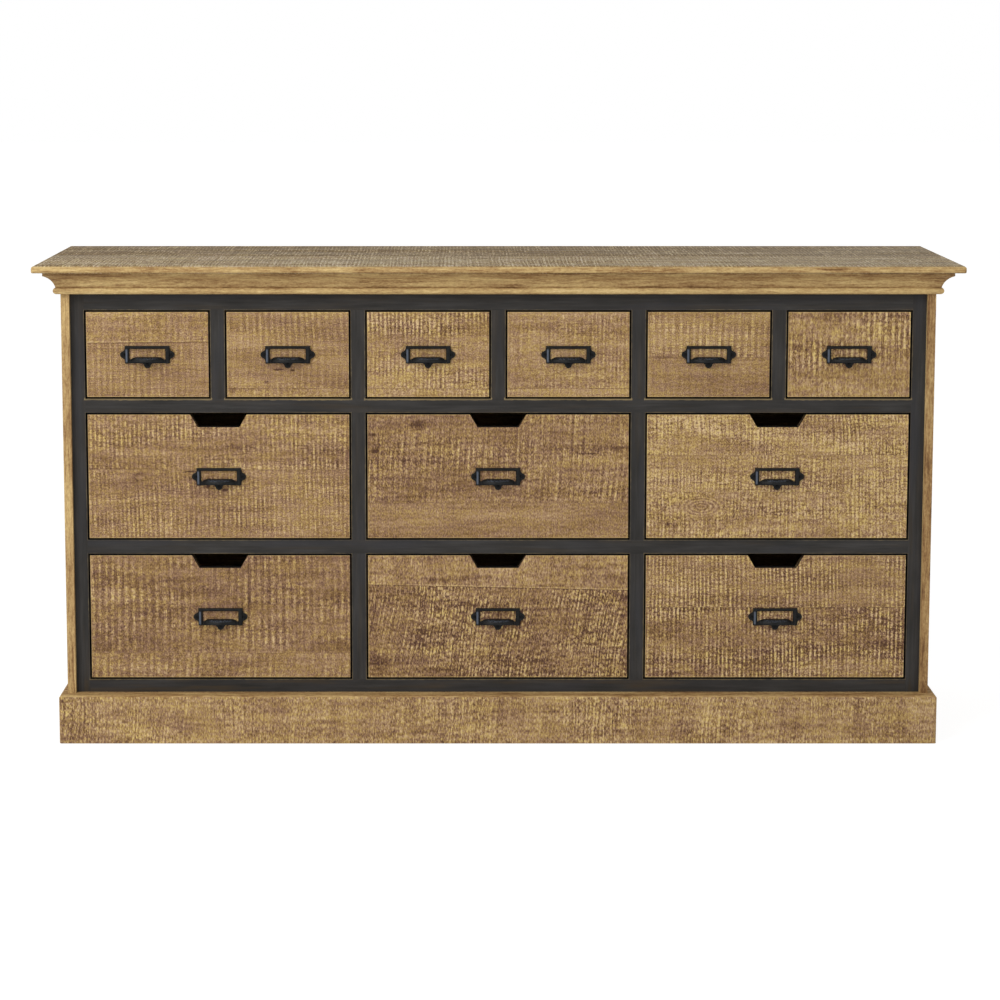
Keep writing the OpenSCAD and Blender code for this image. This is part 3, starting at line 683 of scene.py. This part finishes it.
saw_cuts = [Knot(along, FRONT_EDGE + back, 0.004, 0.018, 0.55)
            for along, back in ((0.875, 0.195), (0.879, 0.155), (0.882, 0.12), (0.885, 0.08))]
top = sawn_with_planed_edges(
    "top_planks", "Z", "Y", 0.02, dusty=True, seed=91.0, stain=GREY_STAIN, knots=saw_cuts,
    planks=[Plank(TOP_JOINT, -0.02, 0.65), Plank(tone=-0.30, marks=0.65)],
    pitch=0.0076, sway=0.008, bead=0.045, coarse=1.7, even=0.8, contrast=1.8)
dress(top, "top_planks")
plinth = sawn_with_planed_edges(
    "plinth_front", "Y", "Z", -0.10, seed=57.0,
    planks=[Plank(tone=0.02, marks=0.95, lean=-0.06)],
    pitch=0.0078, sway=0.05, bead=0.016, coarse=1.6, even=0.5, zones=0.3, contrast=1.14)
dress(plinth, "plinth_front")
plinth_end = rough_sawn("plinth_ends", along="Y", through="X", seed=63.0, pitch=0.012)
dress(plinth_end, "plinth_ends")
print("The top's planks meet", round(TOP_JOINT - FRONT_EDGE, 3), "m behind its front edge")

# %% [markdown]
# ## The mouldings and side panels
#
# The cornice is one board with a bead along its bottom, a cove and a flat band. The bead is painted
# lighter, a painted highlight where it faces the light, and painted shade darkens the groove over
# it and the seam under the top; its ends are a little browner. Both could be painted on by hand. As
# functions of the height above the moulding's lower edge they follow it round the corners by
# themselves.

# %% Mouldings and side panels
CORNICE_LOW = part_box("cornice_front")[0][2]
CORNICE_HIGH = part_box("cornice_front")[1][2]
BEAD_HEIGHT = 0.014
CORNICE_END = (0.84, 0.90)
BROWNER_EDGE = -0.25


def cornice_painted_light_and_shade(finish, place, along):
    """A painted highlight on the bead, painted shade in the groove and under the top, and browner
    ends, by height.
    """
    up = place["Z"] - CORNICE_LOW
    # Painted highlight on the bead; painted shade in the groove over it and in the seam under the
    # top.
    bead = up.rise(BEAD_HEIGHT - 0.001, BEAD_HEIGHT - 0.003)
    groove = up.rise(BEAD_HEIGHT - 0.002, BEAD_HEIGHT) * up.rise(BEAD_HEIGHT + 0.0035, BEAD_HEIGHT)
    seam = (place["Z"] - CORNICE_HIGH).rise(-0.004, -0.0005)
    patchy = finish.noise(along * 11.0, 3.0, detail=2.0).rise(0.38, 0.64)
    ends = abs(place["X"]).rise(*CORNICE_END)
    painted_shade_and_dark_ends = groove * (patchy * 0.22 + 0.12) + seam * (patchy * 0.30 + 0.04) + ends * 0.12
    return bead * 0.18 - painted_shade_and_dark_ends - 0.02


def darkened_front_edge(finish, place, along):
    """The right side panel is browner along its front edge than on its broad face."""
    return finish.facing()["Y"].rise(0.3, 0.8) * BROWNER_EDGE


dress(planed("cornice_front", "X", "Z", "Y", 12.0, retouch=cornice_painted_light_and_shade, short=2.6),
      "cornice_front")
dress(planed("cornice_sides", "Y", "Z", "X", 17.0, retouch=cornice_painted_light_and_shade, short=2.6),
      "cornice_left", "cornice_right")
dress(planed("side_panel_left", "Z", "Y", "X", 23.0, short=2.0), "side_panel_left")
dress(planed("side_panel_right", "Z", "Y", "X", 27.0, retouch=darkened_front_edge, short=2.0),
      "side_panel_right")
print("The cornice is", round(CORNICE_HIGH - CORNICE_LOW, 3), "m high")

# %% [markdown]
# ## Black paint over wood
#
# The face frame is brushed with a matt charcoal paint, which is rubbed through to the wood along
# the arrises of its openings, and those pale arrises are also a painted highlight. Blender can find
# edges by itself, with a bevel or a pointiness node, but the frame's solids are separate boards
# whose joints would show as well.
# So the material works out how far each point is outside the nearest opening: for a box, that
# is the larger of the distances to its sides and to its top or bottom. The openings repeat,
# so a zigzag folds them onto one.

# %% Openings
ARRIS_GAP = 0.0025

small_low, small_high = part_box("small_drawer_4_front")
SMALL_SPACING = small_low[0] + small_high[0]
LARGE_SPACING = 2.0 * SMALL_SPACING
SMALL_HALF = (small_high[0] - small_low[0]) / 2 + ARRIS_GAP
LARGE_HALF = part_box("large_drawer_2_front")[1][0] + ARRIS_GAP
OUTERMOST = 3.0 * SMALL_SPACING


def height_outside(finish, level, drawer):
    """How far a level is above or below the opening of a drawer."""
    low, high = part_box(drawer + "_front")
    middle = (low[2] + high[2]) / 2
    return abs(level - middle) - (high[2] - middle + ARRIS_GAP)


def outside_openings(finish, place):
    """The distance from the nearest opening, and 0 inside it."""
    side = abs(place["X"]).lower_of(OUTERMOST)
    beside_small = (SMALL_SPACING / 2 - side.zigzag(SMALL_SPACING / 2)) - SMALL_HALF
    beside_large = side.zigzag(LARGE_SPACING / 2) - LARGE_HALF
    small_row = height_outside(finish, place["Z"], "small_drawer_4")
    upper_row = height_outside(finish, place["Z"], "large_drawer_2")
    lower_row = height_outside(finish, place["Z"], "large_drawer_5")
    small = beside_small.upper_of(small_row)
    large = beside_large.upper_of(upper_row.lower_of(lower_row))
    return small.lower_of(large).upper_of(0.0)


print("Openings repeat every", round(SMALL_SPACING, 3), "and", round(LARGE_SPACING, 3), "m")

# %% [markdown]
# The paint itself is nearly even, with brown and bluish places along the brush strokes. It is
# rubbed most on the ledge under the small drawers, where fingers rest, and on the foot rail, where
# shoes knock, and the pale arrises are also a painted highlight, strongest on the ledge and on the
# mullions. Inside the openings it is painted near black, a painted shadow.

# %% Black paint
PAINT = [(0.25, colour(0.138, 0.132, 0.124)), (0.5, colour(0.186, 0.178, 0.171)),
         (0.8, colour(0.244, 0.236, 0.230))]
BROWN_PAINT = colour(0.25, 0.205, 0.145)
BLUE_PAINT = colour(0.195, 0.193, 0.205)
PAINTED_OPENING_SHADOW = colour(0.045, 0.042, 0.04)
BARE_AND_HIGHLIT_ARRIS = colour(0.54, 0.47, 0.335)
FRAME_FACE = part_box("frame_rails")[0][1]
LEDGE = small_low[2] - ARRIS_GAP
FOOT_RAIL = (0.14, 0.12)


def black_paint(name, along, across, seed, rub_and_highlight):
    finish = Finish(name)
    place = finish.place()
    outside = outside_openings(finish, place)
    behind = (place["Y"] - FRAME_FACE).upper_of(0.0)
    low = place["Z"].rise(*FOOT_RAIL)
    along, across = place[along], place[across]
    brush = finish.noise(along * 9.0, across * 170.0, seed, detail=3.0, rough=0.6)
    cloud = finish.noise(along * 9.0, across * 30.0, seed + 3.0, detail=2.0)
    paint = finish.ramp(brush * 0.7 + cloud * 0.7 - 0.2, PAINT)
    brown = finish.noise(along * 5.0, across * 60.0, seed + 7.0, detail=2.0).rise(0.5, 0.75)
    paint = finish.mix(brown * (low * 0.5 + 0.3), paint, BROWN_PAINT)
    blue = finish.noise(along * 4.0, across * 25.0, seed + 11.0, detail=1.0).rise(0.52, 0.7)
    paint = finish.mix(blue * 0.5, paint, BLUE_PAINT)

    ragged = finish.noise(place["X"] * 90.0, place["Y"] * 90.0, place["Z"] * 90.0, detail=3.0)
    patches = finish.noise(place["X"] * 8.0, place["Z"] * 8.0, seed + 5.0, detail=1.0)
    # The pale arris is rubbed paint and a painted highlight, widened on the ledge and stronger on
    # the mullions.
    above = place["Z"] - LEDGE
    ledge = above.rise(-0.020, -0.008) * above.rise(0.004, 0.0)
    reach = (outside.upper_of(behind) + ragged * 0.0036) - ledge * 0.0018
    rubbed_and_highlit = reach.rise(0.0036, 0.0020)
    rubbed_and_highlit = rubbed_and_highlit * (patches.rise(0.40, 0.64) * 0.3 + ledge * 0.45 + low * 0.35 + rub_and_highlight)
    bared_and_highlit = finish.mix(rubbed_and_highlit, paint, BARE_AND_HIGHLIT_ARRIS)
    # Painted shadow: behind the frame's face, inside the openings, the paint is made near black.
    inside = behind.rise(0.001, 0.004)
    finish.base(finish.mix(inside, bared_and_highlit, PAINTED_OPENING_SHADOW))
    finish.rough(0.66 + brush * 0.15)
    finish.bump(brush, GRAIN_DEPTH)
    finish.shine(MATT)
    return finish


# How strongly each part's arrises are rubbed pale and painted lighter as a highlight.
dress(black_paint("frame_rails", "X", "Z", 2.0, rub_and_highlight=0.10), "frame_rails")
dress(black_paint("frame_mullions", "Z", "X", 5.0, rub_and_highlight=0.25), "frame_mullions")
dress(black_paint("frame_stiles", "Z", "X", 8.0, rub_and_highlight=0.08), "frame_stiles")
print("The ledge under the small drawers is", round(LEDGE, 3), "m above the floor")

# %% [markdown]
# ## Bare wood inside
#
# Drawer boxes, runners and the back are plain planed boards that nobody stains, so they take
# the planed finish in paler colours. A drawer box is one piece here, but its back board has
# its grain across the drawer and its sides have it along the drawer, so its material asks
# which way each face looks.

# %% Bare wood
BARE_WOOD = [(0.00, colour(0.55, 0.43, 0.29)), (0.35, colour(0.68, 0.56, 0.40)),
             (0.60, colour(0.76, 0.645, 0.48)), (1.00, colour(0.85, 0.75, 0.59))]


def box_wood(name, seed):
    """Bare wood whose grain runs across the drawer on boards that face the front or back."""
    finish = Finish(name)
    place = finish.place()
    deep, fine = planed_shade(finish, place["Y"], place["Z"], place["X"], seed, short=1.2)
    wide, _ = planed_shade(finish, place["X"], place["Z"], place["Y"], seed + 6.0, short=1.2)
    turned = finish.facing()["Y"].rise(0.4, 0.6)
    return planed_surface(finish, deep + (wide - deep) * turned, fine, BARE_WOOD)


boxes = box_wood("drawer_box_boards", 45.0)
lengthways = planed("inner_boards_deep", "Y", "Z", "X", 31.0, wood=BARE_WOOD)
crossways = planed("inner_boards_long", "X", "Z", "Y", 37.0, wood=BARE_WOOD)
upright = planed("back_boards", "Z", "X", "Y", 41.0, wood=BARE_WOOD)
for drawer in FRONTS:
    dress(boxes, drawer + "_box")
dress(lengthways, "partitions", "drawer_runners", "drawer_guides", "drawer_stops",
      "kicker_strips", "top_battens", "plinth_bearers", "plinth_blocks")
dress(crossways, "floor_panel", "back_rails", "plinth_back")
dress(upright, "back_panel")
print("Drawer boxes in bare wood:", len(FRONTS))

# %% [markdown]
# ## Blackened iron
#
# The pulls are rough castings, blackened and waxed. A soft bluish highlight is painted into their
# colour on the left half-round bar and on the hood's shoulder. One finish could serve all twelve,
# but that painted highlight sits at the same place on each pull, so each gets its own, measured
# from its box.

# %% Iron
PULL_HALF_HEIGHT = 0.018
BAR_MIDDLE = 0.0425
HOOD_SHOULDER = 0.0075
PULL_SCREWS = [(-0.049, 0.0), (0.049, 0.0), (0.0, -0.021)]
IRON = [(0.35, colour(0.025, 0.024, 0.022)), (0.65, colour(0.105, 0.106, 0.105))]
PAINTED_HIGHLIGHT_IRON = colour(0.33, 0.355, 0.40)
SCREW_HOLE = colour(0.02, 0.02, 0.02)
CASTING_DEPTH = 0.0012
PLATED = [(0.3, colour(0.55, 0.55, 0.56)), (0.7, colour(0.7, 0.7, 0.7))]


def cast_iron(name, pull):
    """Blackened iron for one pull, with a painted highlight on its left bar and on its hood."""
    finish = Finish(name)
    place = finish.place()
    low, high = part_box(pull)
    side = place["X"] - (low[0] + high[0]) / 2
    up = place["Z"] - (high[2] - PULL_HALF_HEIGHT)
    pits = finish.noise(place["X"] * 420.0, place["Y"] * 420.0, place["Z"] * 420.0, detail=2.0)
    cloud = finish.noise(place["X"] * 130.0, place["Y"] * 130.0, place["Z"] * 130.0, detail=2.0)
    black = finish.ramp(cloud * 0.5 + pits * 0.5, IRON)
    # Painted highlight: the left bar and the hood's shoulder are coloured lighter, as where light
    # would catch them.
    bar = abs(side + BAR_MIDDLE).rise(0.0026, 0.0012) * abs(up + 0.002).rise(0.015, 0.011)
    hood = abs(side).rise(0.026, 0.018) * abs(up + HOOD_SHOULDER).rise(0.0024, 0.0010)
    painted_highlight = bar * 0.85 + hood * pits.rise(0.40, 0.60) * 0.45
    holes = 0.0
    for screw in PULL_SCREWS:
        reach = ((side - screw[0]).power(2.0) + (up - screw[1]).power(2.0)).power(0.5)
        holes = reach.rise(0.0042, 0.0030) + holes
    retouch = finish.mix(painted_highlight, black, PAINTED_HIGHLIGHT_IRON)
    finish.base(finish.mix(holes * 0.8, retouch, SCREW_HOLE))
    finish.rough(0.42 - painted_highlight * 0.15 + cloud * 0.1)
    finish.bump(pits * 0.4 + cloud * 0.6, CASTING_DEPTH)
    finish.shine(0.16, metal=0.1)
    return finish


def plated_steel(name):
    """Zinc-plated steel for the screws in the back."""
    finish = Finish(name)
    place = finish.place()
    grain = finish.noise(place["X"] * 800.0, place["Y"] * 800.0, place["Z"] * 800.0)
    finish.base(finish.ramp(grain, PLATED))
    finish.rough(0.35 + grain * 0.2)
    finish.shine(0.5, metal=0.9)
    return finish


for drawer in FRONTS:
    dress(cast_iron(drawer + "_pull", drawer + "_pull"), drawer + "_pull")
dress(plated_steel("plated_steel"), "back_screws")
print("Materials in all:", len(bpy.data.materials))

# %% [markdown]
# ## The studio
#
# The photograph is a cut-out on white, in soft light from the upper left. A large lamp
# stands there, a weaker one fills from the right, a small one lifts the left end, and a pale
# sky lights the rest. Square area lamps give soft shadows without any further setting.

# %% Lamps
MIDDLE = (0.0, 0.0, 0.5)


def soft_lamp(name, place, size, power):
    """A square lamp that points at the middle of the counter."""
    lamp = bpy.data.lights.new(name, "AREA")
    lamp.shape = "SQUARE"
    lamp.size = size
    lamp.energy = power
    stand = bpy.data.objects.new(name, lamp)
    stand.location = place
    line = [aim - start for aim, start in zip(MIDDLE, place)]
    tilt = math.atan2(math.hypot(line[0], line[1]), -line[2])
    turn = math.atan2(line[1], line[0]) - math.pi / 2
    stand.rotation_euler = (tilt, 0.0, turn)
    bpy.context.scene.collection.objects.link(stand)


soft_lamp("key_lamp", (-2.7, -3.3, 3.9), size=2.2, power=136.0)
soft_lamp("fill_lamp", (3.4, -4.2, 2.2), size=2.6, power=36.0)
soft_lamp("side_lamp", (-4.0, -3.3, 0.8), size=1.0, power=26.0)
print("Lamps:", ", ".join(lamp.name for lamp in bpy.data.lights))

# %% [markdown]
# The background has to be white without more light on the counter. A Light Path node knows
# what asks for the colour, so the sky is white to the camera and in reflections, and half as
# bright when it lights the counter.

# %% Sky
SKY_LIGHT = 0.5
WHITE = (1.0, 1.0, 1.0, 1.0)


def seen_directly(finish):
    """1 for what the camera sees, straight, in a shiny surface or through a clear one."""
    camera_ray = finish.add("LightPath", out="Is Camera Ray")
    path = camera_ray.socket.node
    glossy = Value(finish, path.outputs["Is Glossy Ray"])
    through = Value(finish, path.outputs["Is Transmission Ray"])
    return camera_ray.upper_of(glossy).upper_of(through)


class Sky(Finish):
    """The same node helper, for the world."""

    def __init__(self, world):
        self.nodes = world.node_tree.nodes
        self.links = world.node_tree.links
        self.background = self.nodes["Background"]


sky = bpy.data.worlds.new("sky")
sky.use_nodes = True
bpy.context.scene.world = sky
air = Sky(sky)
direct = seen_directly(air)
air.feed(air.background.inputs["Strength"], direct * (1.0 - SKY_LIGHT) + SKY_LIGHT)
air.background.inputs["Color"].default_value = WHITE
print("The sky lights the counter at", SKY_LIGHT, "of what the camera sees")

# %% [markdown]
# The floor is a plain plane. To the camera it is mostly a glow, which hides its far edge, and
# partly lit paper, which keeps the counter's shadow. It belongs to the studio, not to the counter.

# %% Floor
FLOOR_SIZE = 60.0
FLOOR_GAP = 0.0005
GLOW = 1.25
GLOW_SHARE = 0.7

bpy.ops.object.select_all(action="DESELECT")
floor_height = counter_box[0][2] - FLOOR_GAP
bpy.ops.mesh.primitive_plane_add(size=FLOOR_SIZE, location=(0.0, 0.0, floor_height))
floor = bpy.context.object
floor.name = "studio_floor"

paper = Finish("studio_white")
paper.base(colour(0.93, 0.93, 0.93))
paper.rough(0.9)
glow = paper.add("Emission", sockets={"Color": WHITE, "Strength": GLOW})
output = next(node for node in paper.nodes if node.type == "OUTPUT_MATERIAL")
both = paper.add("MixShader", sockets={0: seen_directly(paper) * GLOW_SHARE, 2: glow})
paper.links.new(paper.shader.outputs[0], both.socket.node.inputs[1])
paper.links.new(both.socket, output.inputs[0])
floor.data.materials.append(paper.material)
print("The floor is", FLOOR_SIZE, "m wide")

# %% [markdown]
# ## Finishing
#
# Colours are shown as they were written, without a film look.

# %% Finish
bpy.context.scene.view_settings.view_transform = "Standard"
